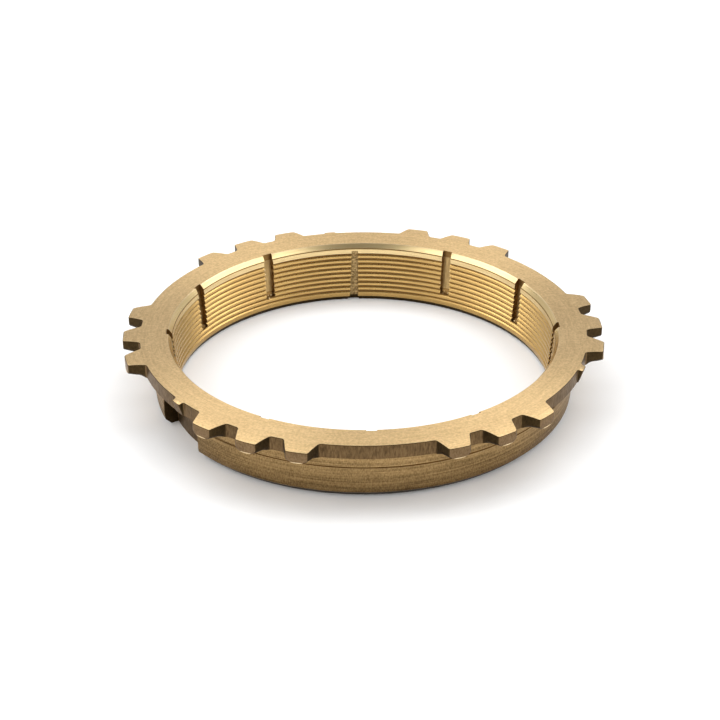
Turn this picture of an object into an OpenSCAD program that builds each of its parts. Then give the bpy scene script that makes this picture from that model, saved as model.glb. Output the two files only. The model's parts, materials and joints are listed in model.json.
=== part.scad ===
// Synchronizer ring: a thin coned brass ring with a toothed flange, a key slot and oil grooves.
// The origin is on the ring's axis, on the plane that it stands on, with the toothed face up.
// Three stations round the ring, one of them on +Y, each have a stub tooth and a relief in the bore.
// Lengths are in millimetres and angles in degrees.

/* [Ring] */
// Height from the standing face to the toothed face
ring_h = 10.5; // [9:0.1:14]
// Thickness of the body's wall at its foot, before its chamfers
body_wall = 3.7; // [3:0.1:4.5]
// Height of the chamfer round the outer edge of the foot
foot_chamfer_h = 0.7; // [0.2:0.05:1]
// Width of that chamfer
foot_chamfer_w = 1.1; // [0.2:0.05:1.3]

/* [Friction bore] */
// Diameter of the coned bore at the foot, its small end
bore_d = 60.4; // [50:0.1:75]
// Half angle of the cone
cone_angle = 4; // [2:0.25:6]
// Chamfer round the bore's edge at the foot
bore_chamfer = 0.35; // [0.1:0.05:0.6]
// Height of the polished chamfer at the bore's mouth
mouth_h = 0.8; // [0.4:0.05:1.2]
// Width of that chamfer, measured along the radius
mouth_w = 0.6; // [0.3:0.05:1]

/* [Toothed flange] */
// Thickness of the flange and its teeth
flange_t = 2.25; // [1.8:0.05:3.2]
// Reach of the flange past the body, out to the roots of the teeth
flange_reach = 2.1; // [1.5:0.1:3.5]
// Height of a tooth from its root to its tip
tooth_h = 2.7; // [1.5:0.1:3]
// Tooth places round the flange, whether they hold a tooth or not
tooth_places = 30; // [27:3:33]
// Teeth in the group on each side of a station
group_teeth = 3; // [2:1:3]
// Width of a tooth at its tip, before its corners are rounded
tip_w = 3.4; // [2.6:0.1:3.8]
// Slant of a tooth's flanks from the radius
flank_angle = 25; // [18:1:28]
// Radius of the corners at a tooth's tip
tip_round = 0.3; // [0.1:0.05:0.7]
// Radius of the fillets at a tooth's root
root_fillet = 0.3; // [0.1:0.05:0.5]
// Height of the chamfer under a tooth's flanks
chamfer_h = 0.75; // [0.3:0.05:1.2]
// Width of that chamfer
chamfer_w = 0.8; // [0.2:0.05:1]

/* [Stations] */
// Stations round the ring
station_count = 3; // [3:1:3]
// Width of the low stub tooth beside a station
stub_w = 1.9; // [1.4:0.1:3]
// Height of the stub tooth at the toothed face
stub_h = 0.8; // [0.4:0.1:1.4]
// Height that it tapers down to under the flange
stub_foot_h = 0.15; // [0.1:0.05:0.3]

/* [Key slot] */
// Stations that have a key slot, counted from the one after +Y
slot_count = 1; // [1:1:3]
// Width of a key slot
slot_w = 11.3; // [6:0.1:14]
// Turn of a key slot from the middle of its station
slot_turn = -1.7; // [-3:0.1:3]
// Wall left between a slot's floor and the bore, under the flange
slot_wall = 0.75; // [0.5:0.05:1.2]

/* [Oil grooves] */
// Oil grooves between one station and the next
grooves_between = 3; // [1:1:4]
// Turn of the oil grooves from an even spacing between the stations
groove_turn = -1.2; // [-3:0.1:3]
// Width of an oil groove
groove_w = 1.7; // [1:0.1:2.4]
// Depth of an oil groove below the cone
groove_depth = 0.85; // [0.4:0.05:1.2]
// Height above the foot at which an oil groove runs out
groove_foot = 2.7; // [1.5:0.1:4]
// Height of the slope on which an oil groove runs out
runout_h = 1.1; // [0.6:0.1:2]
// Plain bore left between a station's relief and the mouth's chamfer
relief_land = 0.6; // [0.3:0.1:2]
// Width of the relief at the foot
relief_foot_w = 1.6; // [1:0.1:2.4]
// Width of the relief where it fades out
relief_top_w = 1; // [0.6:0.1:1.6]

/* [Hidden] */
$fn = 96;
brass = "#c8a560";

// Cutters reach this far past the faces that they cut
past = 1;
// Straight steps in each small rounded corner
arc_steps = 3;
// Angle at which a tip corner's arc leaves the tip circle
tip_arc_start = 30;

bore_r = bore_d / 2;
body_r = bore_r + body_wall;
root_r = body_r + flange_reach;
tip_r = root_r + tooth_h;
flange_z = ring_h - flange_t;
mouth_z = ring_h - mouth_h;
relief_z = mouth_z - relief_land;
slot_floor_r = cone_r(flange_z) + slot_wall;
tooth_pitch = 360 / tooth_places;
station_pitch = 360 / station_count;
groove_pitch = station_pitch / (grooves_between + 1);
// The station that is centred on +Y
first_station = 90;

// Radius of the coned bore at a height above the foot
function cone_r(z) = bore_r + z * tan(cone_angle);

// Half the width of a tooth at a distance from the axis, measured along the tooth's middle line
function tooth_half(x) = tip_w / 2 + (tip_r - x) * tan(flank_angle);

function arc(centre, radius, from, to) =
    [for (i = [0:arc_steps])
        let (a = from + (to - from) * i / arc_steps)
        centre + radius * [cos(a), sin(a)]];

function mirrored(points) = [for (i = [len(points) - 1:-1:0]) [points[i].x, -points[i].y]];

// One side of a tooth's outline, from the tip round its corner, down the flank and out on the root fillet
function tooth_side() =
    let (root_half = tooth_half(root_r) + root_fillet,
         root_x = sqrt(root_r * root_r - root_half * root_half),
         tip_y = tip_w / 2 - tip_round * (1 - sin(flank_angle)) / cos(flank_angle),
         fillet_x = root_x + root_fillet,
         fillet_y = tooth_half(fillet_x) + root_fillet / cos(flank_angle))
    concat(
        [[tip_r + past, tip_y]],
        arc([tip_r - tip_round, tip_y], tip_round, tip_arc_start, 90 - flank_angle),
        arc([fillet_x, fillet_y], root_fillet, 270 - flank_angle, 180),
        [[root_x - past, fillet_y]]);

module tooth_outline() {
    side = tooth_side();
    polygon(concat(side, mirrored(side)));
}

// A stub leans back from the toothed face to the flange's lower edge
module stub_tooth() {
    translate([0, stub_w / 2, 0])
        rotate([90, 0, 0])
            linear_extrude(stub_w)
                polygon([
                    [root_r - past, flange_z],
                    [root_r + stub_foot_h, flange_z],
                    [root_r + stub_h, ring_h],
                    [root_r - past, ring_h]]);
}

// Tooth places are counted in pitches from the middle of a station
module at_each_tooth() {
    at_each_station()
        for (side = [-1, 1], place = [1:group_teeth])
            rotate(side * (place + 0.5) * tooth_pitch)
                children();
}

module at_each_station() {
    for (station = [0:station_count - 1])
        rotate(first_station + station * station_pitch)
            children();
}

module at_each_slot() {
    for (station = [1:slot_count])
        rotate(first_station + station * station_pitch + slot_turn)
            children();
}

module toothed_flange() {
    translate([0, 0, flange_z])
        linear_extrude(flange_t) {
            intersection() {
                circle(tip_r);
                at_each_tooth()
                    tooth_outline();
            }
            circle(root_r);
        }
    at_each_station()
        rotate(tooth_pitch / 2)
            stub_tooth();
}

module body() {
    rotate_extrude()
        polygon([
            [0, 0],
            [body_r - foot_chamfer_w, 0],
            [body_r, foot_chamfer_h],
            [body_r, flange_z + flange_t / 2],
            [0, flange_z + flange_t / 2]]);
}

module friction_bore() {
    mouth_slope = mouth_w / mouth_h;
    rotate_extrude()
        polygon([
            [0, -past],
            [cone_r(bore_chamfer) + bore_chamfer + past, -past],
            [cone_r(bore_chamfer), bore_chamfer],
            [cone_r(mouth_z), mouth_z],
            [cone_r(mouth_z) + (mouth_h + past) * mouth_slope, ring_h + past],
            [0, ring_h + past]]);
}

// A slot's floor follows the ring round, and the flange is its roof
module key_slot() {
    difference() {
        translate([0, -slot_w / 2, -past])
            cube([body_r + past, slot_w, ring_h + past]);
        translate([0, 0, -2 * past])
            cylinder(r = slot_floor_r, h = ring_h + 4 * past);
    }
}

module slotted_body() {
    difference() {
        body();
        at_each_slot()
            key_slot();
    }
}

// A groove is open at the mouth, follows the cone and runs out on a slope above the foot
module oil_groove() {
    foot = [cone_r(groove_foot), groove_foot];
    floor_foot = [cone_r(groove_foot + runout_h) + groove_depth, groove_foot + runout_h];
    floor_top = [cone_r(ring_h + past) + groove_depth, ring_h + past];
    inner_foot = 2 * foot - floor_foot;
    translate([0, groove_w / 2, 0])
        rotate([90, 0, 0])
            linear_extrude(groove_w)
                polygon([inner_foot, floor_foot, floor_top, [inner_foot.x, floor_top.y]]);
}

// The relief has a straight floor, so it fades out where the cone reaches that floor
module station_relief() {
    intersection() {
        translate([0, 0, -2 * past])
            cylinder(r = cone_r(relief_z), h = relief_z + 3 * past);
        rotate([90, 0, 90])
            linear_extrude(body_r)
                polygon([
                    [-relief_foot_w / 2, -past],
                    [relief_foot_w / 2, -past],
                    [relief_top_w / 2, relief_z + past],
                    [-relief_top_w / 2, relief_z + past]]);
    }
}

// Takes the lower edge off one flank, from just past the root fillet to the tip
module flank_chamfer() {
    start_x = root_r + root_fillet;
    slope = chamfer_h / chamfer_w;
    translate([start_x, tooth_half(start_x), flange_z])
        rotate([90, 0, 90 - flank_angle])
            linear_extrude((tooth_h + past) / cos(flank_angle))
                polygon([
                    [-chamfer_w, 0],
                    [0, chamfer_h],
                    [past, chamfer_h + past * slope],
                    [past, -past],
                    [-chamfer_w - past / slope, -past]]);
}

module synchronizer_ring() {
    color(brass)
        difference() {
            union() {
                slotted_body();
                toothed_flange();
            }
            friction_bore();
            at_each_station() {
                station_relief();
                for (groove = [1:grooves_between])
                    rotate(groove * groove_pitch + groove_turn)
                        oil_groove();
            }
            at_each_tooth()
                for (side = [0, 1])
                    mirror([0, side, 0])
                        flank_chamfer();
        }
}

synchronizer_ring();
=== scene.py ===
import json
import math
import random

import bmesh
import bpy
from mathutils import Matrix, Vector, noise

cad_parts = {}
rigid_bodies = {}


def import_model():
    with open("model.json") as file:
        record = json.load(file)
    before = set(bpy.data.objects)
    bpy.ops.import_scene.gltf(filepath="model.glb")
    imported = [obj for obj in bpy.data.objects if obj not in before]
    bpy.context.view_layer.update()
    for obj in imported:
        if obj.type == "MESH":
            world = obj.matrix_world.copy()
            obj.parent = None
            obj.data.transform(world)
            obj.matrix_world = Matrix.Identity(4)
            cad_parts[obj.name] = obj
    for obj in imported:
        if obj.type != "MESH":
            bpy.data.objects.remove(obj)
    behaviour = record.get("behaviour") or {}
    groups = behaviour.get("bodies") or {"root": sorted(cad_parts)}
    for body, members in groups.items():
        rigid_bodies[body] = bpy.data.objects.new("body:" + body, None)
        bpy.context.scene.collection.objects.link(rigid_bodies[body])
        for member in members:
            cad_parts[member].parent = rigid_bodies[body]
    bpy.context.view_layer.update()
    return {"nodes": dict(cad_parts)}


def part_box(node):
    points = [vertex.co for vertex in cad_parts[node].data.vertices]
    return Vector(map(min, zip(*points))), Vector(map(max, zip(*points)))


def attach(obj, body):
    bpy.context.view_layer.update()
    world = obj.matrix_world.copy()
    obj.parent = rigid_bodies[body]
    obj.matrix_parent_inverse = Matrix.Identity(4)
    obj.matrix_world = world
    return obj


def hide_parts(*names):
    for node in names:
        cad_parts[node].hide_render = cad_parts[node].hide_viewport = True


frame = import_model()
print("frame loaded, nodes:", list(frame["nodes"]))

mm = 0.001  # shapes are modelled in millimetres and scaled to the frame's metres at the end
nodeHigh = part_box("synchronizer_ring")[1]
tipRadius = round(nodeHigh.x / mm, 2)
ringHeight = round(nodeHigh.z / mm, 2)
upAxis = Vector((0, 0, 1))
origin = Vector((0, 0, 0))
past = 1.0          # cutters reach this far past the faces that they cut
mergeGap = 0.001    # points nearer than this become one
tinyGap = 0.0005    # edges shorter than this are dropped

# the finishes that the machining leaves, with painted shade and painted highlight among them, in the order
# of the ring's material slots
finishOrder = [
    "facedBrass", "polishedBrass", "threadedBrass", "paintedGrooveShadeBrass", "milledBrass", "castBrass",
    "broachedAndPaintedShadeBrass", "tipBrass", "paintedShadeBrass", "turnedBrass", "wornEdgeAndHighlightBrass",
]
finishSlot = {name: index for index, name in enumerate(finishOrder)}

stationAngles = [90, 210, 330]  # each has a stub tooth and a relief, anticlockwise from +X
stationPitch = 120
toothPitch = 12


# shader nodes

def mathNode(tree, operation, first, second):
    node = tree.nodes.new("ShaderNodeMath")
    node.operation = operation
    for socket, value in zip(node.inputs, (first, second)):
        if isinstance(value, (int, float)):
            socket.default_value = value
        else:
            tree.links.new(value, socket)
    return node.outputs["Value"]


def vectorNode(tree, operation, first, second=None):
    node = tree.nodes.new("ShaderNodeVectorMath")
    node.operation = operation
    tree.links.new(first, node.inputs[0])
    if isinstance(second, tuple):
        node.inputs[1].default_value = second
    elif second is not None:
        tree.links.new(second, node.inputs["Scale"] if operation == "SCALE" else node.inputs[1])
    return node.outputs["Value" if operation == "LENGTH" else "Vector"]


def placeNode(tree):
    return tree.nodes.new("ShaderNodeTexCoord").outputs["Object"]


def splitNode(tree, vector):
    node = tree.nodes.new("ShaderNodeSeparateXYZ")
    tree.links.new(vector, node.inputs[0])
    return node.outputs


def rangeNode(tree, value, fromRange, toRange):
    node = tree.nodes.new("ShaderNodeMapRange")
    for end, number in zip(("From Min", "From Max", "To Min", "To Max"), (*fromRange, *toRange)):
        node.inputs[end].default_value = number
    tree.links.new(value, node.inputs["Value"])
    return node.outputs["Result"]


def groupNode(tree, group, values):
    node = tree.nodes.new("ShaderNodeGroup")
    node.node_tree = group
    for label, value in values.items():
        node.inputs[label].default_value = value
    return node


# shared shader groups

def newGroup(name, inputs, outputs):
    tree = bpy.data.node_groups.new(name, "ShaderNodeTree")
    for label, kind, value in inputs:
        socket = tree.interface.new_socket(label, in_out="INPUT", socket_type=kind)
        socket.default_value = value
    for label, kind in outputs:
        tree.interface.new_socket(label, in_out="OUTPUT", socket_type=kind)
    return tree, tree.nodes.new("NodeGroupInput"), tree.nodes.new("NodeGroupOutput")


def buildLatheMarks():
    # long streaks that run round the axis, as a turning tool leaves them
    tree, given, result = newGroup(
        "latheMarks",
        [("Along", "NodeSocketFloat", 12.0), ("Across", "NodeSocketFloat", 6000.0)],
        [("Marks", "NodeSocketFloat")])
    place = placeNode(tree)
    flat = vectorNode(tree, "MULTIPLY", place, (1, 1, 0))
    facing = vectorNode(tree, "SCALE", vectorNode(tree, "NORMALIZE", flat), given.outputs["Along"])
    around = splitNode(tree, facing)
    outward = mathNode(tree, "MULTIPLY", vectorNode(tree, "LENGTH", flat), given.outputs["Across"])
    upward = mathNode(tree, "MULTIPLY", splitNode(tree, place)["Z"], given.outputs["Across"])
    join = tree.nodes.new("ShaderNodeCombineXYZ")
    tree.links.new(around["X"], join.inputs["X"])
    tree.links.new(around["Y"], join.inputs["Y"])
    tree.links.new(outward, join.inputs["Z"])
    streaks = tree.nodes.new("ShaderNodeTexNoise")
    streaks.noise_dimensions = "4D"
    streaks.inputs["Scale"].default_value = 1.0
    streaks.inputs["Detail"].default_value = 3.0
    tree.links.new(join.outputs["Vector"], streaks.inputs["Vector"])
    tree.links.new(upward, streaks.inputs["W"])
    tree.links.new(streaks.outputs["Fac"], result.inputs["Marks"])
    return tree


def buildMetalGrain():
    # speckle that can be drawn out along one direction, for broach marks
    tree, given, result = newGroup(
        "metalGrain",
        [("Scale", "NodeSocketFloat", 4000.0), ("Stretch", "NodeSocketVector", (1.0, 1.0, 1.0))],
        [("Grain", "NodeSocketFloat")])
    drawn = vectorNode(tree, "MULTIPLY", placeNode(tree), given.outputs["Stretch"])
    speckle = tree.nodes.new("ShaderNodeTexNoise")
    speckle.inputs["Detail"].default_value = 2.0
    speckle.inputs["Roughness"].default_value = 0.6
    tree.links.new(drawn, speckle.inputs["Vector"])
    tree.links.new(given.outputs["Scale"], speckle.inputs["Scale"])
    tree.links.new(speckle.outputs["Fac"], result.inputs["Grain"])
    return tree


def buildTarnish():
    # clean brass that dulls in soft patches, with the marks showing through
    tree, given, result = newGroup(
        "tarnish",
        [("Clean", "NodeSocketColor", (0.8, 0.57, 0.3, 1)),
         ("Dull", "NodeSocketColor", (0.4, 0.27, 0.12, 1)),
         ("Scale", "NodeSocketFloat", 90.0), ("Patches", "NodeSocketFloat", 0.4),
         ("Marks", "NodeSocketFloat", 0.5), ("Show", "NodeSocketFloat", 0.5)],
        [("Color", "NodeSocketColor"), ("Mask", "NodeSocketFloat")])
    patches = tree.nodes.new("ShaderNodeTexNoise")
    patches.inputs["Detail"].default_value = 4.0
    tree.links.new(placeNode(tree), patches.inputs["Vector"])
    tree.links.new(given.outputs["Scale"], patches.inputs["Scale"])
    patchPart = mathNode(tree, "MULTIPLY", patches.outputs["Fac"], given.outputs["Patches"])
    markPart = mathNode(tree, "MULTIPLY", given.outputs["Marks"], given.outputs["Show"])
    amount = tree.nodes.new("ShaderNodeClamp")
    tree.links.new(mathNode(tree, "ADD", patchPart, markPart), amount.inputs["Value"])
    blend = tree.nodes.new("ShaderNodeMix")
    blend.data_type = "RGBA"
    colours = [socket for socket in blend.inputs if socket.type == "RGBA"]
    tree.links.new(amount.outputs["Result"], blend.inputs[0])
    tree.links.new(given.outputs["Clean"], colours[0])
    tree.links.new(given.outputs["Dull"], colours[1])
    blended = [socket for socket in blend.outputs if socket.type == "RGBA"][0]
    tree.links.new(blended, result.inputs["Color"])
    tree.links.new(amount.outputs["Result"], result.inputs["Mask"])
    return tree


# brass finishes

finishes = {
    # clean and dull colours, soft patches, lathe streaks and speckle with their sizes,
    # how far these show, gloss, bump, brushing, and a painted foot shade, darker at the foot and lighter at
    # the top
    "facedBrass": {
        "clean": (0.87, 0.635, 0.33), "dull": (0.45, 0.30, 0.14), "patchScale": 60, "patches": 0.25,
        "lathe": 0.4, "along": 9, "across": 5200, "speckle": 0.6, "grain": 2800, "stretch": (1, 1, 1),
        "show": 0.7, "rough": (0.36, 0.52), "bump": 0.5, "depth": 0.03, "brushed": 0.85,
    },
    "polishedBrass": {
        "clean": (0.90, 0.71, 0.38), "dull": (0.60, 0.43, 0.19), "patchScale": 120, "patches": 0.3,
        "lathe": 0.8, "along": 6, "across": 7000, "speckle": 0.2, "grain": 5000, "stretch": (1, 1, 1),
        "show": 0.45, "rough": (0.24, 0.38), "bump": 0.3, "depth": 0.02, "brushed": 0,
    },
    "threadedBrass": {
        "clean": (0.67, 0.445, 0.165), "dull": (0.37, 0.222, 0.07), "patchScale": 110, "patches": 0.4,
        "lathe": 0.65, "along": 8, "across": 7000, "speckle": 0.35, "grain": 4500, "stretch": (1, 1, 1),
        "show": 0.35, "rough": (0.22, 0.38), "bump": 0.2, "depth": 0.015, "brushed": 0,
    },
    # painted shade: a dark finish for the thread grooves, the turned line, the line under the mouth and the
    # oil grooves' walls and run-outs
    "paintedGrooveShadeBrass": {
        "clean": (0.32, 0.19, 0.066), "dull": (0.14, 0.078, 0.026), "patchScale": 140, "patches": 0.5,
        "lathe": 0.65, "along": 8, "across": 7000, "speckle": 0.35, "grain": 4500, "stretch": (1, 1, 1),
        "show": 0.4, "rough": (0.35, 0.55), "bump": 0.2, "depth": 0.015, "brushed": 0,
    },
    "milledBrass": {
        "clean": (0.60, 0.42, 0.185), "dull": (0.22, 0.135, 0.055), "patchScale": 160, "patches": 0.4,
        "lathe": 0.1, "along": 8, "across": 7000, "speckle": 0.9, "grain": 3600, "stretch": (1, 1, 0.12),
        "show": 0.5, "rough": (0.32, 0.55), "bump": 0.3, "depth": 0.03, "brushed": 0,
    },
    "castBrass": {
        "clean": (0.72, 0.51, 0.235), "dull": (0.13, 0.082, 0.033), "patchScale": 150, "patches": 0.3,
        "lathe": 0.1, "along": 8, "across": 7000, "speckle": 0.9, "grain": 3000, "stretch": (1, 1, 1),
        "show": 0.85, "rough": (0.42, 0.65), "bump": 0.6, "depth": 0.06, "brushed": 0,
    },
    # the broached root faces and stubs, and painted shade on the key slot's floor
    "broachedAndPaintedShadeBrass": {
        "clean": (0.23, 0.145, 0.068), "dull": (0.075, 0.045, 0.02), "patchScale": 420, "patches": 0.55,
        "lathe": 0.1, "along": 8, "across": 7000, "speckle": 0.9, "grain": 3400, "stretch": (1, 1, 0.3),
        "show": 0.6, "rough": (0.36, 0.55), "bump": 0.3, "depth": 0.03, "brushed": 0,
    },
    "tipBrass": {
        "clean": (0.27, 0.175, 0.09), "dull": (0.09, 0.055, 0.026), "patchScale": 420, "patches": 0.4,
        "lathe": 0.2, "along": 10, "across": 5000, "speckle": 0.8, "grain": 4600, "stretch": (1, 1, 0.6),
        "show": 0.55, "rough": (0.36, 0.55), "bump": 0.4, "depth": 0.03, "brushed": 0,
    },
    # painted shade: a near-black finish for the tooth flanks, the toothed face's round, the slot's end
    # walls, the foot chamfers and the relief notches
    "paintedShadeBrass": {
        "clean": (0.075, 0.048, 0.02), "dull": (0.022, 0.013, 0.005), "patchScale": 420, "patches": 0.4,
        "lathe": 0.1, "along": 8, "across": 7000, "speckle": 0.9, "grain": 4200, "stretch": (1, 1, 0.5),
        "show": 0.5, "rough": (0.4, 0.6), "bump": 0.35, "depth": 0.03, "brushed": 0,
    },
    "turnedBrass": {
        "clean": (0.58, 0.385, 0.17), "dull": (0.115, 0.068, 0.025), "patchScale": 220, "patches": 0.3,
        "lathe": 0.55, "along": 3, "across": 6500, "speckle": 0.45, "grain": 5000, "stretch": (1, 1, 0.5),
        "show": 0.85, "rough": (0.32, 0.5), "bump": 0.5, "depth": 0.03, "brushed": 0, "paintedFootShade": (0.3, -0.25),
    },
    # light edges: partly worn and fresh metal, partly painted highlight for the glints along burrs and
    # edges
    "wornEdgeAndHighlightBrass": {
        "clean": (0.92, 0.74, 0.46), "dull": (0.60, 0.43, 0.22), "patchScale": 500, "patches": 0.6,
        "lathe": 0.1, "along": 8, "across": 7000, "speckle": 0.9, "grain": 3000, "stretch": (1, 1, 1),
        "show": 0.4, "rough": (0.25, 0.4), "bump": 0.2, "depth": 0.01, "brushed": 0,
    },
}
markRange = (0.3, 0.7)  # the streaks and speckle together lie here, and are spread to 0 to 1


def brassFinish(name, look, groups):
    material = bpy.data.materials.new(name)
    material.use_nodes = True
    tree = material.node_tree
    shader = tree.nodes["Principled BSDF"]
    shader.inputs["Metallic"].default_value = 1.0
    lathe = groupNode(tree, groups["latheMarks"], {"Along": look["along"], "Across": look["across"]})
    grain = groupNode(tree, groups["metalGrain"], {"Scale": look["grain"], "Stretch": look["stretch"]})
    tarnish = groupNode(tree, groups["tarnish"], {
        "Clean": (*look["clean"], 1), "Dull": (*look["dull"], 1), "Scale": look["patchScale"],
        "Patches": look["patches"], "Show": look["show"]})
    marks = mathNode(tree, "MULTIPLY", lathe.outputs["Marks"], look["lathe"])
    speckle = mathNode(tree, "MULTIPLY", grain.outputs["Grain"], look["speckle"])
    worn = rangeNode(tree, mathNode(tree, "ADD", marks, speckle), markRange, (0, 1))
    marksAndFootShade = worn
    # painted shade: the finish turns duller and darker towards the foot and cleaner towards the top, fed
    # through the tarnish's Marks input
    if "paintedFootShade" in look:
        height = splitNode(tree, placeNode(tree))["Z"]
        marksAndFootShade = mathNode(tree, "ADD", worn, rangeNode(tree, height, (0, ringHeight * mm), look["paintedFootShade"]))
    tree.links.new(marksAndFootShade, tarnish.inputs["Marks"])
    tree.links.new(tarnish.outputs["Color"], shader.inputs["Base Color"])
    gloss = rangeNode(tree, tarnish.outputs["Mask"], (0, 1), look["rough"])
    tree.links.new(gloss, shader.inputs["Roughness"])
    bump = tree.nodes.new("ShaderNodeBump")
    bump.inputs["Strength"].default_value = look["bump"]
    bump.inputs["Distance"].default_value = look["depth"] * mm
    tree.links.new(worn, bump.inputs["Height"])
    tree.links.new(bump.outputs["Normal"], shader.inputs["Normal"])
    if look["brushed"]:  # the face's fine rings spread its gloss along the radius
        flat = vectorNode(tree, "MULTIPLY", placeNode(tree), (1, 1, 0))
        tree.links.new(vectorNode(tree, "NORMALIZE", flat), shader.inputs["Tangent"])
        shader.inputs["Anisotropic"].default_value = look["brushed"]
    return material


sharedGroups = {"latheMarks": buildLatheMarks(), "metalGrain": buildMetalGrain(), "tarnish": buildTarnish()}
brassSlots = [brassFinish(name, finishes[name], sharedGroups) for name in finishOrder]
print("brass finishes:", len(brassSlots))


# small helpers

def polar(radius, degrees):
    turn = math.radians(degrees)
    return Vector((radius * math.cos(turn), radius * math.sin(turn), 0))


def turnZ(degrees):
    return Matrix.Rotation(math.radians(degrees), 3, "Z")


def bearing(point):
    return math.degrees(math.atan2(point.y, point.x))


def apart(one, other):
    # degrees between two bearings, the short way round
    return abs((one - other + 180) % 360 - 180)


def onlyVerts(parts):
    return [part for part in parts if isinstance(part, bmesh.types.BMVert)]


def arcEdges(bm, radius, fromAngle, toAngle, stepAngle):
    # one vertex swept round the axis leaves a chain of short edges
    steps = max(1, math.ceil((toAngle - fromAngle) / stepAngle))
    first = bm.verts.new(polar(radius, fromAngle))
    swept = bmesh.ops.spin(
        bm, geom=[first], cent=origin, axis=upAxis, angle=math.radians(toAngle - fromAngle), steps=steps)
    return first, onlyVerts(swept["geom_last"])[0]


def closeOutline(bm, arcs):
    for arc, nextArc in zip(arcs, arcs[1:] + arcs[:1]):
        bm.edges.new((arc[1], nextArc[0]))
    return bmesh.ops.edgeloop_fill(bm, edges=bm.edges[:])["faces"][0]


def raiseFace(bm, face, rise):
    raised = bmesh.ops.extrude_face_region(bm, geom=[face])
    bmesh.ops.translate(bm, verts=onlyVerts(raised["geom"]), vec=rise)
    bmesh.ops.recalc_face_normals(bm, faces=bm.faces[:])


def turnCopies(bm, angles):
    # copies of everything so far, one at each angle round the axis
    source = bm.verts[:] + bm.edges[:] + bm.faces[:]
    for angle in angles[1:]:
        copied = bmesh.ops.duplicate(bm, geom=source)["geom"]
        bmesh.ops.rotate(bm, verts=onlyVerts(copied), cent=origin, matrix=turnZ(angle))
    bmesh.ops.rotate(bm, verts=onlyVerts(source), cent=origin, matrix=turnZ(angles[0]))


def loftTool(bm, sections):
    # a closed solid through a row of four-cornered sections
    rings = []
    for section in sections:
        verts = [bm.verts.new(point) for point in section]
        rings.append([bm.edges.new(pair) for pair in zip(verts, verts[1:] + verts[:1])])
    for lower, upper in zip(rings, rings[1:]):
        bmesh.ops.bridge_loops(bm, edges=lower + upper)
    for end in (rings[0], rings[-1]):
        bmesh.ops.edgeloop_fill(bm, edges=end)


def paint(faces, finish):
    for face in faces:
        face.material_index = finishSlot[finish]


def toObject(bm, name):
    mesh = bpy.data.meshes.new(name)
    bm.to_mesh(mesh)
    for material in brassSlots:
        mesh.materials.append(material)
    bm.free()
    piece = bpy.data.objects.new(name, mesh)
    bpy.context.scene.collection.objects.link(piece)
    return piece


def combine(piece, tool, operation, overlaps=False):
    modifier = piece.modifiers.new("combine", "BOOLEAN")
    modifier.operation = operation
    modifier.solver = "EXACT"
    modifier.use_self = overlaps
    modifier.object = tool
    shaped = piece.evaluated_get(bpy.context.evaluated_depsgraph_get())
    mesh = bpy.data.meshes.new_from_object(shaped)
    piece.modifiers.clear()
    oldMeshes = [piece.data, tool.data]
    piece.data = mesh
    bpy.data.objects.remove(tool)
    for oldMesh in oldMeshes:
        bpy.data.meshes.remove(oldMesh)


# toothed flange

flange = {
    "thickness": 2.25,
    "toothHeight": 2.7,
    "tipWidth": 3.4,
    "flankAngle": 20,
    "tipCorner": 0.4,        # radius
    "rootCorner": 0.5,
    "cornerSteps": 4,
    "groupTeeth": 3,
    "stubWidth": 1.9,
    "stubHeight": 0.8,
    "stubFoot": 0.15,        # height that a stub tapers down to
    "stubDrop": 0.2,         # fall of a stub's top towards its edge
    "tipDrop": 0.26,         # how much lower the top of a tooth is at its tip
    "tipRise": 0.2,          # and how much higher its underside
    "bendFrom": 0.03,        # distance past the root circle at which that begins
    "underWide": 1.15,       # rounding under the flanks, across the tooth
    "underTall": 0.9,        # and up it
    "underFade": 0.9,        # length over which it fades out at the root
    "underSteps": 6,
    "lipTall": 0.14,         # burr that stands out along the lower edge of a tip
    "lipOut": 0.05,
    "topEdgeRound": 0.07,
    "stripFrom": 0.05,       # lines cross a tooth's flat from here above its root
    "stripTo": 0.12,         # to here below its tip
    "arcStep": 1.5,          # degrees
    "wave": 0.022,           # unevenness that the broach left in the outline
    "waveLength": 1.1,
    "waveStep": 0.45,
    "waveSeed": 7,
    "flatFacing": 0.9,       # a face that points up or down more than this is flat
    "outFacing": 0.85,       # and one that points outwards more than this is no flank
    "lipBand": 0.27,         # the burr's light edge finish, partly painted highlight, is painted this near the tip circle
    "tipBand": 0.2,          # and the tip this near
    "flankFrom": 0.15,       # flanks take the painted shade from here past the root circle
}
rootRadius = tipRadius - flange["toothHeight"]
flangeFoot = ringHeight - flange["thickness"]


def toothHalf(distance):
    slope = math.tan(math.radians(flange["flankAngle"]))
    return flange["tipWidth"] / 2 + (tipRadius - distance) * slope


def flangeTeeth():
    # each entry is the middle of a tooth, its half angle at the root and at the tip, and its tip radius
    slant = math.radians(flange["flankAngle"])
    rootSine = toothHalf(0) * math.cos(slant) / rootRadius
    toothRoot = math.degrees(math.asin(rootSine) - slant)
    toothTip = math.degrees(math.asin(flange["tipWidth"] / 2 / tipRadius))
    stubRadius = rootRadius + flange["stubHeight"]
    stubRoot = math.degrees(math.asin(flange["stubWidth"] / 2 / rootRadius))
    stubTip = math.degrees(math.asin(flange["stubWidth"] / 2 / stubRadius))
    teeth = []
    for station in stationAngles:
        teeth.append((station + toothPitch / 2, stubRoot, stubTip, stubRadius))
        for place in range(1, flange["groupTeeth"] + 1):
            for side in (-1, 1):
                teeth.append((station + side * (place + 0.5) * toothPitch, toothRoot, toothTip, tipRadius))
    return sorted(teeth)


def fullTeeth():
    return [tooth[0] for tooth in flangeTeeth() if tooth[3] == tipRadius]


def stubTeeth():
    return [tooth[0] for tooth in flangeTeeth() if tooth[3] < tipRadius]


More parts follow.
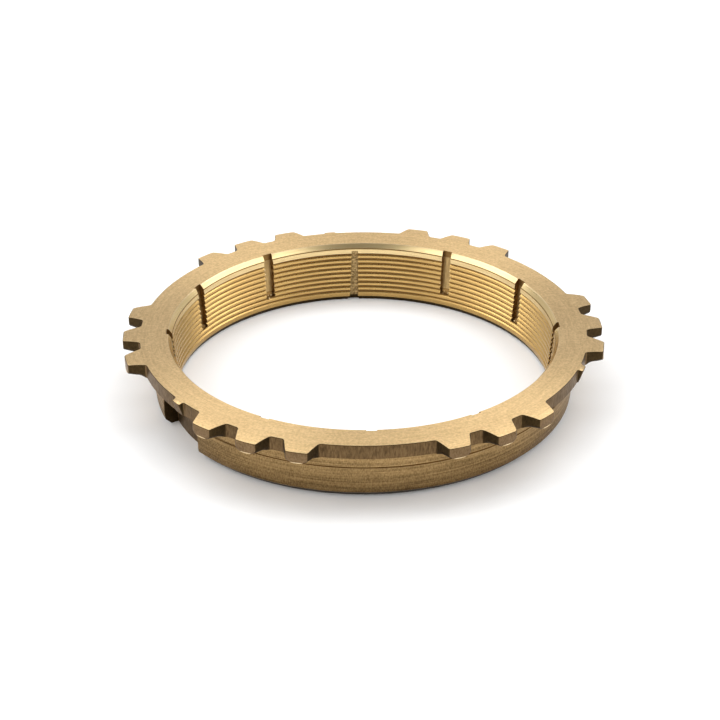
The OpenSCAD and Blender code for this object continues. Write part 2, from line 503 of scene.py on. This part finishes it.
def flangeOutline():
    # the plan of the flange as one flat face, slightly uneven along its edge
    bm = bmesh.new()
    teeth = flangeTeeth()
    nextTeeth = teeth[1:] + [(teeth[0][0] + 360,) + teeth[0][1:]]
    arcs = []
    for tooth, following in zip(teeth, nextTeeth):
        middle, rootHalf, tipHalf, radius = tooth
        arcs.append(arcEdges(bm, radius, middle - tipHalf, middle + tipHalf, flange["arcStep"]))
        gapEnd = following[0] - following[1]
        arcs.append(arcEdges(bm, rootRadius, middle + rootHalf, gapEnd, flange["arcStep"]))
    closeOutline(bm, arcs)
    halfTurn = math.tan(math.radians(45 - flange["flankAngle"] / 2))
    for radius, ends in ((flange["tipCorner"], arcs[0::2]), (flange["rootCorner"], arcs[1::2])):
        bmesh.ops.bevel(
            bm, geom=[vert for arc in ends for vert in arc], offset=radius * halfTurn, offset_type="OFFSET",
            affect="VERTICES", segments=flange["cornerSteps"], profile=0.5, material=-1, clamp_overlap=True)
    mostCuts = int(max(edge.calc_length() for edge in bm.edges) / flange["waveStep"])
    for cuts in range(1, mostCuts + 1):
        longEdges = [edge for edge in bm.edges if int(edge.calc_length() / flange["waveStep"]) == cuts]
        bmesh.ops.subdivide_edges(bm, edges=longEdges, cuts=cuts)
    noise.seed_set(flange["waveSeed"])
    for vert in bm.verts:
        push = noise.noise_vector(vert.co / flange["waveLength"]) * flange["wave"]
        vert.co += Vector((push.x, push.y, 0))
    return bm


def narrowTeeth(verts, before, after):
    # draws the flanks of the full teeth in, fading out towards their roots
    middles = fullTeeth()
    for vert in verts:
        facing = bearing(vert.co)
        middle = min(middles, key=lambda angle: apart(facing, angle))
        local = turnZ(-middle) @ vert.co
        fade = min(max((local.x - rootRadius) / flange["underFade"], 0), 1)
        fade = fade * fade * (3 - 2 * fade)
        half = toothHalf(local.x)
        if abs(local.y) < half + flange["rootCorner"]:
            local.y *= (half - after * fade) / (half - before * fade)
            vert.co = turnZ(middle) @ local


def lipReach(drop):
    return flange["lipOut"] * max(0, 1 - (flange["thickness"] - drop) / flange["lipTall"])


def pushOut(verts, amount):
    for vert in verts:
        part = max(vert.co.xy.length - rootRadius, 0) / flange["toothHeight"]
        vert.co.xy *= 1 + amount * part / vert.co.xy.length


def stripTeeth(bm, face):
    # lines across each tooth let its flat bend towards the tip
    verts = face.verts[:]
    for tooth in flangeTeeth():
        turn = turnZ(-tooth[0])
        lowest = rootRadius + flange["stripFrom"]
        highest = tooth[3] - flange["stripTo"]
        flanks = {True: [], False: []}
        for vert in verts:
            local = turn @ vert.co
            reach = local.xy.length
            if lowest < reach < highest and abs(bearing(local)) < toothPitch / 2:
                flanks[local.y > 0].append((reach, vert))
        sides = [sorted(side, key=lambda entry: entry[0]) for side in flanks.values()]
        for one, other in zip(*sides):
            bmesh.ops.connect_verts(bm, verts=[one[1], other[1]])


def shapeTips(verts):
    # thins the teeth towards their tips and leans the stubs back
    stubs = stubTeeth()
    lean = flange["stubFoot"] / flange["stubHeight"]
    for vert in verts:
        reach = vert.co.xy.length - rootRadius
        if reach < flange["bendFrom"]:
            continue
        facing = bearing(vert.co)
        level = (vert.co.z - flangeFoot) / flange["thickness"]
        if min(apart(facing, stub) for stub in stubs) < toothPitch / 4:
            part = min(reach / flange["stubHeight"], 1)
            reached = rootRadius + reach * (lean + (1 - lean) * level)
            vert.co.xy *= reached / vert.co.xy.length
            vert.co.z -= flange["stubDrop"] * part * level
        else:
            part = min(reach / flange["toothHeight"], 1) ** 2
            vert.co.z += flange["tipRise"] * part * (1 - level) - flange["tipDrop"] * part * level


def flangeFinish(face):
    if face.normal.z > flange["flatFacing"]:
        return "facedBrass"
    if face.normal.z < -flange["flatFacing"]:
        return "castBrass"
    middle = face.calc_center_median()
    reach = middle.xy.length
    facesOut = middle.xy.normalized().dot(face.normal.xy) > flange["outFacing"]
    atLip = reach > tipRadius - flange["lipBand"] and middle.z < flangeFoot + flange["lipTall"]
    # the burr along a tip's lower edge gets the light edge finish, partly worn edge and partly painted
    # highlight
    if facesOut and atLip:
        return "wornEdgeAndHighlightBrass"
    # the flanks get painted shade, dark where they face into the gaps between teeth
    if not facesOut and reach > rootRadius + flange["flankFrom"]:
        return "paintedShadeBrass"
    if reach > tipRadius - flange["tipBand"]:
        return "tipBrass"
    return "broachedAndPaintedShadeBrass"


def makeFlange():
    bm = flangeOutline()
    bmesh.ops.translate(bm, verts=bm.verts[:], vec=upAxis * ringHeight)
    wide, tall = flange["underWide"], flange["underTall"]
    straight = flange["thickness"] - tall
    layers = [(straight, 0)]
    for step in range(1, flange["underSteps"] + 1):
        turn = math.pi / 2 * step / flange["underSteps"]
        layers.append((straight + tall * math.sin(turn), wide * (1 - math.cos(turn))))
    face = bm.faces[:][0]
    rim = face.verts[0]
    reached, drawn = 0, 0
    for drop, drawIn in layers:  # down from the toothed face, round the lower corners of the teeth
        grown = bmesh.ops.extrude_face_region(bm, geom=[face] + face.edges[:] + face.verts[:])["geom"]
        face = [part for part in grown if isinstance(part, bmesh.types.BMFace)][0]
        bmesh.ops.translate(bm, verts=face.verts[:], vec=upAxis * (reached - drop))
        narrowTeeth(face.verts, drawn, drawIn)
        pushOut(face.verts, lipReach(drop) - lipReach(reached))
        reached, drawn = drop, drawIn
    bmesh.ops.recalc_face_normals(bm, faces=bm.faces[:])
    for side in bm.faces:
        paint([side], flangeFinish(side))
    toothedFace = max(rim.link_faces, key=lambda side: len(side.verts))
    # the round along the toothed face's edge is painted dark, as painted shade
    bmesh.ops.bevel(
        bm, geom=toothedFace.edges[:], offset=flange["topEdgeRound"], offset_type="OFFSET", affect="EDGES",
        segments=2, profile=0.5, material=finishSlot["paintedShadeBrass"], clamp_overlap=True)
    # the toothed face and the underside have the most corners
    for flat in sorted(bm.faces, key=lambda side: len(side.verts))[-2:]:
        stripTeeth(bm, flat)
    shapeTips(bm.verts)
    bmesh.ops.recalc_face_normals(bm, faces=bm.faces[:])
    return toObject(bm, "flange")


# body with its key slot

body = {
    "wall": 3.7,             # at the foot
    "footChamferTall": 1.0,
    "footChamferWide": 1.05,
    "footBand": 0.1,         # top of that chamfer, which has the wall's finish
    "footEdge": 0.14,        # how far the wall draws in above that chamfer
    "footEase": 1.5,         # and the height over which it does
    "footSteps": 5,
    "slotAngle": 208.3,      # middle of the key slot
    "slotWidth": 11.3,
    "slotWall": 0.75,
    "slotEdgeRound": 0.15,
    "slotEdgeSteps": 3,
    "sharpAngle": 40,        # upright edges sharper than this are rounded
    "seatInFlange": 1.2,     # how far the body reaches up into the flange
    "arcStep": 1.5,
    "lineHeight": 5.39,      # fine line that the turning tool left round the wall
    "lineWidth": 0.2,
    "lineDepth": 0.13,
}

bore = {
    "footRadius": 30.2,
    "coneAngle": 4.0,
    "footChamferTall": 0.7,
    "footChamferWide": 0.35,
    "mouthHeight": 0.8,
    "mouthWidth": 0.6,
    "mouthEdge": 0.07,       # height of the worn edge round the mouth
    "mouthEdgeWide": 0.105,
    "lineWidth": 0.12,       # dark line under the polished mouth
    "lineDepth": 0.07,
    "threads": 9,
    "threadTop": 1.94,       # middle of the first groove, below the toothed face
    "threadPitch": 0.862,
    "threadWidth": 0.52,
    "threadFloor": 0.12,
    "threadDepth": 0.24,
    "steps": 240,
}


def coneRadius(height):
    return bore["footRadius"] + height * math.tan(math.radians(bore["coneAngle"]))


bodyRadius = bore["footRadius"] + body["wall"]
slotFloorRadius = coneRadius(flangeFoot) + body["slotWall"]
cutterInside = bore["footRadius"] - 2 * past  # where the tools that cut into the bore begin


def makeBody():
    bm = bmesh.new()
    half = body["slotWidth"] / 2
    slot = body["slotAngle"]
    floorHalf = math.degrees(math.asin(half / slotFloorRadius))
    wallHalf = math.degrees(math.asin(half / bodyRadius))
    arcs = [
        arcEdges(bm, slotFloorRadius, slot - floorHalf, slot + floorHalf, body["arcStep"]),
        arcEdges(bm, bodyRadius, slot + wallHalf, slot + 360 - wallHalf, body["arcStep"]),
    ]
    raiseFace(bm, closeOutline(bm, arcs), upAxis * (flangeFoot + body["seatInFlange"]))
    paint(bm.faces, "turnedBrass")
    margin = body["slotEdgeRound"]
    # the slot's floor and end walls are painted darker, as painted shade inside the slot
    walls = [side for side in bm.faces if len(side.verts) == 4]
    for side in walls:
        reach = side.calc_center_median().xy.length
        if reach < slotFloorRadius + margin:
            paint([side], "broachedAndPaintedShadeBrass")
        elif reach < bodyRadius - margin:
            paint([side], "paintedShadeBrass")
    limit = math.radians(body["sharpAngle"])
    sharp = [edge for edge in bm.edges if edge.is_manifold and edge.calc_face_angle() > limit]
    uprights = [edge for edge in sharp if edge.verts[0].co.z != edge.verts[1].co.z]
    bmesh.ops.bevel(
        bm, geom=uprights, offset=body["slotEdgeRound"], offset_type="OFFSET", affect="EDGES",
        segments=body["slotEdgeSteps"], profile=0.5, material=-1, clamp_overlap=True)
    return toObject(bm, "body")


def latheTool(profile, name, closed):
    # profile is a list of radius and height, each with the finish of the stretch that ends there
    bm = bmesh.new()
    verts = [bm.verts.new((radius, 0, height)) for radius, height, finish in profile]
    for pair in zip(verts, verts[1:]):
        bm.edges.new(pair)
    if closed:
        bm.edges.new((verts[-1], verts[0]))
    bmesh.ops.spin(
        bm, geom=bm.verts[:] + bm.edges[:], cent=origin, axis=upAxis, angle=math.tau, steps=bore["steps"],
        use_merge=True)
    bmesh.ops.remove_doubles(bm, verts=bm.verts[:], dist=tinyGap)
    stretches = []
    for start, end in zip(profile, profile[1:] + profile[:1]):
        stretches.append((Vector(((start[0] + end[0]) / 2, (start[1] + end[1]) / 2)), end[2]))
    for face in bm.faces:
        middle = face.calc_center_median()
        spot = Vector((middle.xy.length, middle.z))
        nearest = min(stretches, key=lambda stretch: (stretch[0] - spot).length)
        paint([face], nearest[1])
    if not closed:
        bmesh.ops.holes_fill(bm, edges=[edge for edge in bm.edges if edge.is_boundary])
    bmesh.ops.recalc_face_normals(bm, faces=bm.faces[:])
    return toObject(bm, name)


def makeTurnedLine():
    half = body["lineWidth"] / 2
    floorHalf, openHalf = half / 3, half * 1.5  # a flat nose with slanted sides
    height = body["lineHeight"]
    floor, outside = bodyRadius - body["lineDepth"], bodyRadius + past / 10
    # the line's sides and floor are painted dark, as painted shade in the line
    profile = [
        (outside, height - openHalf, "turnedBrass"),
        (floor, height - floorHalf, "paintedGrooveShadeBrass"),
        (floor, height + floorHalf, "paintedGrooveShadeBrass"),
        (outside, height + openHalf, "paintedGrooveShadeBrass"),
    ]
    return latheTool(profile, "turnedLine", closed=True)


def makeFootChamfer():
    tall, wide, edge = body["footChamferTall"], body["footChamferWide"], body["footEdge"]
    band, ease = body["footBand"], body["footEase"]
    slope = wide / tall
    outside = bodyRadius + past
    # the chamfer under the wall is painted dark, as painted shade at the foot
    profile = [(bodyRadius - wide - past * slope, -past, "paintedShadeBrass")]
    profile.append((bodyRadius - edge - band * slope, tall - band, "paintedShadeBrass"))
    for step in range(body["footSteps"] + 1):  # eases into the wall above
        part = 1 - step / body["footSteps"]
        profile.append((bodyRadius - edge * part ** 2, tall + ease * (1 - part), "turnedBrass"))
    profile.append((outside, tall + ease + past / 10, "turnedBrass"))
    profile.append((outside, -past, "turnedBrass"))
    return latheTool(profile, "footChamfer", closed=True)


def makeBoreTool():
    foot, wide = bore["footChamferTall"], bore["footChamferWide"]
    under = coneRadius(foot) + wide * (1 + past / foot)
    # the bore's foot chamfer is painted dark, as painted shade at the foot
    points = [(under, -past, "paintedShadeBrass"), (coneRadius(foot), foot, "paintedShadeBrass")]
    half, floorHalf = bore["threadWidth"] / 2, bore["threadFloor"] / 2
    for thread in reversed(range(bore["threads"])):
        middle = ringHeight - bore["threadTop"] - thread * bore["threadPitch"]
        floor = coneRadius(middle) + bore["threadDepth"]
        points.append((coneRadius(middle - half), middle - half, "threadedBrass"))
        points.append((floor, middle - floorHalf, "threadedBrass"))
        # each groove's floor and upper side are painted darker, as painted shade in the thread
        points.append((floor, middle + floorHalf, "paintedGrooveShadeBrass"))
        points.append((coneRadius(middle + half), middle + half, "paintedGrooveShadeBrass"))
    mouth = ringHeight - bore["mouthHeight"]
    mouthRadius = coneRadius(mouth)
    slope = bore["mouthWidth"] / bore["mouthHeight"]
    lineHalf = bore["lineWidth"] / 2
    points.append((mouthRadius, mouth - lineHalf * 2, "polishedBrass"))
    # the line under the mouth is painted dark, as painted shade
    points.append((mouthRadius + bore["lineDepth"], mouth - lineHalf, "paintedGrooveShadeBrass"))
    points.append((mouthRadius + lineHalf * slope, mouth + lineHalf, "paintedGrooveShadeBrass"))
    edge, edgeWide = bore["mouthEdge"], bore["mouthEdgeWide"]
    edgeRadius = mouthRadius + (bore["mouthHeight"] - edge) * slope
    points.append((edgeRadius, ringHeight - edge, "polishedBrass"))
    # the mouth's edge gets the light edge finish, partly worn edge and partly painted highlight
    points.append((edgeRadius + edgeWide, ringHeight, "wornEdgeAndHighlightBrass"))
    points.append((edgeRadius + edgeWide + past, ringHeight + past * edge / edgeWide, "wornEdgeAndHighlightBrass"))
    return latheTool(points, "boreTool", closed=False)


# oil grooves and reliefs

oilGroove = {
    "between": 3,            # grooves from one station to the next
    "turn": -1.2,            # degrees from an even spacing
    "width": 1.7,
    "depth": 0.85,
    "foot": 2.7,             # height at which a groove runs out
    "runout": 1.1,
    "runoutSteps": 6,
    "step": 0.43,            # height of a section, half the thread's pitch
    "brightFrom": 3.5,       # heights between which the floor keeps the milled finish; above and below, it takes the painted groove shade
    "brightTo": 9.6,
    "floorFacing": 0.7,      # a face that points outwards more than this is floor
    "ragged": 0.1,           # how far the edges wander
    "raggedSeed": 5,
}

burrs = {
    "smallest": 0.06,        # radius
    "largest": 0.13,
    "thin": 0.8,             # how flat they lie against the bore
    "wide": (0.8, 1.3),      # least and most stretch across the groove
    "tall": (0.9, 1.6),      # and up the bore
    "share": 0.5,            # of the thread's lands that end in one at a groove
    "spread": (0.97, 1.08),  # least and most of a groove's half width at which they sit
    "clear": 0.3,            # height above a groove's foot from which they are left
    "crumbs": 3,             # left where each groove runs out
    "crumbRise": (-0.05, 0.35),
    "crumbSpread": (-0.8, 0.8),
    "seed": 3,
}

relief = {
    "uprightEdge": -0.87,    # one edge of the strip is upright, the other leans
    "leanFoot": 0.67,
    "leanTop": 0.25,
    "footDepth": 0.45,
    "topDepth": 0.3,
    "fadeFrom": 8.7,         # heights between which the floor climbs to the bore
    "fadeTo": 9.35,
    "fadePast": 0.02,        # and how far it climbs past it
    "notchWidth": 2.1,       # bevelled notch where the relief meets the foot
    "notchTopWidth": 1.4,
    "notchHeight": 0.8,
    "notchDepth": 0.35,      # behind the relief's floor
}


def grooveAngles():
    step = stationPitch / (oilGroove["between"] + 1)
    places = [(place + 1) * step + oilGroove["turn"] for place in range(oilGroove["between"])]
    return [station + place for station in stationAngles for place in places]


def grooveFloor(height):
    rise = min(max((height - oilGroove["foot"]) / oilGroove["runout"], 0), 1)
    return coneRadius(height) + oilGroove["depth"] * math.sqrt(1 - (1 - rise) ** 2)


def grooveHeights():
    foot, runout, steps = oilGroove["foot"], oilGroove["runout"], oilGroove["runoutSteps"]
    heights = [foot + runout * (1 - math.cos(math.pi / 2 * step / steps)) for step in range(steps + 1)]
    while heights[-1] < ringHeight + past / 2:
        heights.append(heights[-1] + oilGroove["step"])
    return heights


def boreSection(angle, height, floor, near, far):
    # four corners of a tool that cuts out from the middle of the ring to a floor
    corners = [(cutterInside, near), (floor, near), (floor, far), (cutterInside, far)]
    turn = turnZ(angle)
    return [turn @ Vector((reach, across, height)) for reach, across in corners]


def makeOilGrooves():
    bm = bmesh.new()
    half = oilGroove["width"] / 2
    ragged = random.Random(oilGroove["raggedSeed"])
    for angle in grooveAngles():
        sections = []
        for height in grooveHeights():
            near = -half + ragged.uniform(-1, 1) * oilGroove["ragged"]
            far = half + ragged.uniform(-1, 1) * oilGroove["ragged"]
            sections.append(boreSection(angle, height, grooveFloor(height), near, far))
        loftTool(bm, sections)
    bmesh.ops.recalc_face_normals(bm, faces=bm.faces[:])
    # the grooves' walls and run-outs are painted dark, as painted shade; only a band of the floor keeps the
    # milled finish
    paint(bm.faces, "paintedGrooveShadeBrass")
    for face in bm.faces:
        middle = face.calc_center_median()
        isFloor = face.normal.xy.dot(middle.xy.normalized()) > oilGroove["floorFacing"]
        if isFloor and oilGroove["brightFrom"] < middle.z < oilGroove["brightTo"]:
            paint([face], "milledBrass")
    return toObject(bm, "oilGrooves")


def makeBurrs():
    # small crumbs of metal along the edges of the oil grooves and where they run out
    bm = bmesh.new()
    chance = random.Random(burrs["seed"])
    half = oilGroove["width"] / 2
    foot = oilGroove["foot"]
    firstThread = ringHeight - bore["threadTop"]
    lands = [firstThread - (land + 0.5) * bore["threadPitch"] for land in range(bore["threads"])]
    for angle in grooveAngles():
        spots = []
        for height in lands:
            for side in (-half, half):
                if height > foot + burrs["clear"] and chance.random() < burrs["share"]:
                    spots.append((coneRadius(height), side * chance.uniform(*burrs["spread"]), height))
        for crumb in range(burrs["crumbs"]):
            height = foot + chance.uniform(*burrs["crumbRise"])
            spots.append((grooveFloor(height), half * chance.uniform(*burrs["crumbSpread"]), height))
        for spot in spots:
            place = Matrix.Rotation(math.radians(angle), 4, "Z") @ Matrix.Translation(spot)
            wide = chance.uniform(*burrs["wide"])
            tall = chance.uniform(*burrs["tall"])
            squeeze = Matrix.Diagonal((burrs["thin"], wide, tall, 1))
            radius = chance.uniform(burrs["smallest"], burrs["largest"])
            bmesh.ops.create_icosphere(bm, subdivisions=1, radius=radius, matrix=place @ squeeze)
    # the crumbs get the light edge finish, partly fresh metal and partly painted highlight
    paint(bm.faces, "wornEdgeAndHighlightBrass")
    return toObject(bm, "burrs")


def makeReliefs():
    bm = bmesh.new()
    fadeFrom, fadeTo = relief["fadeFrom"], relief["fadeTo"]
    levels = [
        (-past, coneRadius(0) + relief["footDepth"], relief["leanFoot"]),
        (fadeFrom, coneRadius(fadeFrom) + relief["topDepth"], relief["leanTop"]),
        (fadeTo, coneRadius(fadeTo) - relief["fadePast"], relief["leanTop"]),
    ]
    for angle in stationAngles:
        sections = []
        for height, floor, lean in levels:
            sections.append(boreSection(angle, height, floor, relief["uprightEdge"], lean))
        loftTool(bm, sections)
    bmesh.ops.recalc_face_normals(bm, faces=bm.faces[:])
    paint(bm.faces, "castBrass")
    return toObject(bm, "reliefs")


def makeReliefNotches():
    # a low wedge takes the foot's inner edge off at each relief
    bm = bmesh.new()
    wide, topWide, tall = relief["notchWidth"] / 2, relief["notchTopWidth"] / 2, relief["notchHeight"]
    under = wide + (wide - topWide) * past / tall
    depth = coneRadius(0) + relief["footDepth"] + relief["notchDepth"] - cutterInside
    outline = [(-under, -past), (under, -past), (topWide, tall), (-topWide, tall)]
    face = bm.faces.new([bm.verts.new((cutterInside, across, height)) for across, height in outline])
    raiseFace(bm, face, Vector((depth, 0, 0)))
    turnCopies(bm, stationAngles)
    bmesh.ops.recalc_face_normals(bm, faces=bm.faces[:])
    # the notch is painted dark, as painted shade under the foot
    paint(bm.faces, "paintedShadeBrass")
    return toObject(bm, "reliefNotches")


# the whole ring

crispAngle = 32  # edges sharper than this stay crisp


def makeRing():
    ring = makeFlange()
    print("toothed flange:", len(ring.data.polygons), "faces")
    wall = makeBody()
    combine(wall, makeTurnedLine(), "DIFFERENCE")
    combine(wall, makeFootChamfer(), "DIFFERENCE")
    print("slotted body:", len(wall.data.polygons), "faces")
    combine(ring, wall, "UNION")
    combine(ring, makeBoreTool(), "DIFFERENCE")
    print("bore and thread:", len(ring.data.polygons), "faces")
    combine(ring, makeOilGrooves(), "DIFFERENCE")
    combine(ring, makeReliefs(), "DIFFERENCE")
    combine(ring, makeReliefNotches(), "DIFFERENCE")
    print("oil grooves and reliefs:", len(ring.data.polygons), "faces")
    combine(ring, makeBurrs(), "UNION", overlaps=True)
    print("burrs:", len(ring.data.polygons), "faces")
    bm = bmesh.new()
    bm.from_mesh(ring.data)
    bmesh.ops.remove_doubles(bm, verts=bm.verts[:], dist=mergeGap)
    bmesh.ops.dissolve_degenerate(bm, edges=bm.edges[:], dist=tinyGap)
    bmesh.ops.recalc_face_normals(bm, faces=bm.faces[:])
    bmesh.ops.scale(bm, verts=bm.verts[:], vec=(mm, mm, mm))
    for face in bm.faces:
        face.smooth = True
    print("open edges:", len([edge for edge in bm.edges if not edge.is_manifold]))
    bm.to_mesh(ring.data)
    bm.free()
    ring.data.set_sharp_from_angle(angle=math.radians(crispAngle))
    weighted = ring.modifiers.new("flatFaces", "WEIGHTED_NORMAL")
    weighted.keep_sharp = True
    ring.name = "synchronizerRing"
    ring.data.name = "synchronizerRing"
    return ring


ring = makeRing()
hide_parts("synchronizer_ring")
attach(ring, "root")
print("ring dressed:", len(ring.data.polygons), "faces")


# floor, lights and camera

studio = {
    "floorSize": 8.0,
    "floorColour": (0.97, 0.97, 0.97),
    "floorRough": 0.9,
    "floorShine": 0.1,
    "floorGlow": 0.6,        # keeps the floor pale towards the horizon
    "glowBand": (0.45, 1.1), # distances between which the glow grows
    "skyColour": (1.0, 1.0, 1.0),
    "skyLow": 0.8,           # strength near the floor
    "skyHigh": 0.22,         # strength overhead
    "skyBand": (0.1, 0.4),   # heights between which it falls, as sines
}

softboxes = {
    # name: direction to the lamp, distance, width, height, power
    "leftSoftbox": ((-0.79, -0.21, 0.53), 0.8, 1.12, 0.62, 4.6),
    "rightSoftbox": ((0.79, -0.21, 0.53), 0.8, 1.12, 0.62, 4.1),
    "leftOverSoftbox": ((-0.45, 0.35, 0.82), 0.8, 0.5, 0.6, 2.15),
    "rightOverSoftbox": ((0.45, 0.35, 0.82), 0.8, 0.5, 0.6, 2.15),
    "overSoftbox": ((0.0, 0.25, 0.97), 0.8, 0.4, 0.6, 1.0),
    "backSoftbox": ((-0.03, 0.84, 0.54), 0.9, 1.2, 0.36, 0.9),
}

photoView = {
    "elevation": 28.38,      # degrees above the floor
    "turn": -3.39,           # degrees round the ring from its -Y side
    "distance": 311.4,       # millimetres to the middle of the toothed face
    "focal": 1927.3,         # pixels, as the next two
    "frame": 720,
    "centre": (363.4, 328.2),
    "sensor": 36.0,          # millimetres
    "clipStart": 0.01,       # metres
}


def makeFloor():
    bm = bmesh.new()
    bmesh.ops.create_grid(bm, x_segments=2, y_segments=2, size=studio["floorSize"] / 2)
    floor = toObject(bm, "floor")
    floor.data.materials.clear()
    material = bpy.data.materials.new("palePaper")
    material.use_nodes = True
    tree = material.node_tree
    shader = tree.nodes["Principled BSDF"]
    shader.inputs["Base Color"].default_value = (*studio["floorColour"], 1)
    shader.inputs["Roughness"].default_value = studio["floorRough"]
    shader.inputs["Specular IOR Level"].default_value = studio["floorShine"]
    shader.inputs["Emission Color"].default_value = (*studio["skyColour"], 1)
    away = vectorNode(tree, "LENGTH", placeNode(tree))
    glow = rangeNode(tree, away, studio["glowBand"], (0, studio["floorGlow"]))
    tree.links.new(glow, shader.inputs["Emission Strength"])
    floor.data.materials.append(material)


def makeSky():
    world = bpy.data.worlds.new("studioSky")
    world.use_nodes = True
    tree = world.node_tree
    background = tree.nodes["Background"]
    background.inputs["Color"].default_value = (*studio["skyColour"], 1)
    height = splitNode(tree, tree.nodes.new("ShaderNodeTexCoord").outputs["Generated"])["Z"]
    strength = rangeNode(tree, height, studio["skyBand"], (studio["skyLow"], studio["skyHigh"]))
    tree.links.new(strength, background.inputs["Strength"])
    bpy.context.scene.world = world


def makeSoftboxes():
    for name, (direction, distance, width, height, power) in softboxes.items():
        light = bpy.data.lights.new(name, "AREA")
        light.shape = "RECTANGLE"
        light.size = width
        light.size_y = height
        light.energy = power
        lamp = bpy.data.objects.new(name, light)
        towards = Vector(direction).normalized()
        lamp.location = towards * distance
        lamp.rotation_euler = towards.to_track_quat("Z", "Y").to_euler()
        bpy.context.scene.collection.objects.link(lamp)


def makeCamera():
    lens = bpy.data.cameras.new("photoCamera")
    lens.sensor_width = photoView["sensor"]
    lens.lens = photoView["focal"] / photoView["frame"] * lens.sensor_width
    lens.clip_start = photoView["clipStart"]
    camera = bpy.data.objects.new("photoCamera", lens)
    rise = math.radians(photoView["elevation"])
    turn = math.radians(photoView["turn"])
    back = Vector((math.sin(turn) * math.cos(rise), -math.cos(turn) * math.cos(rise), math.sin(rise)))
    middle = Vector((0, 0, ringHeight)) * mm
    camera.location = middle + back * photoView["distance"] * mm
    aim = back.to_track_quat("Z", "Y")
    half = photoView["frame"] / 2
    yaw = math.atan2(photoView["centre"][0] - half, photoView["focal"])
    pitch = math.atan2(half - photoView["centre"][1], photoView["focal"])
    nudge = Matrix.Rotation(yaw, 3, "Y") @ Matrix.Rotation(-pitch, 3, "X")
    camera.rotation_euler = (aim.to_matrix() @ nudge).to_euler()
    bpy.context.scene.collection.objects.link(camera)
    bpy.context.scene.camera = camera


makeFloor()
makeSky()
makeSoftboxes()
makeCamera()
bpy.context.scene.view_settings.view_transform = "Standard"
print("floor, lights and camera placed")
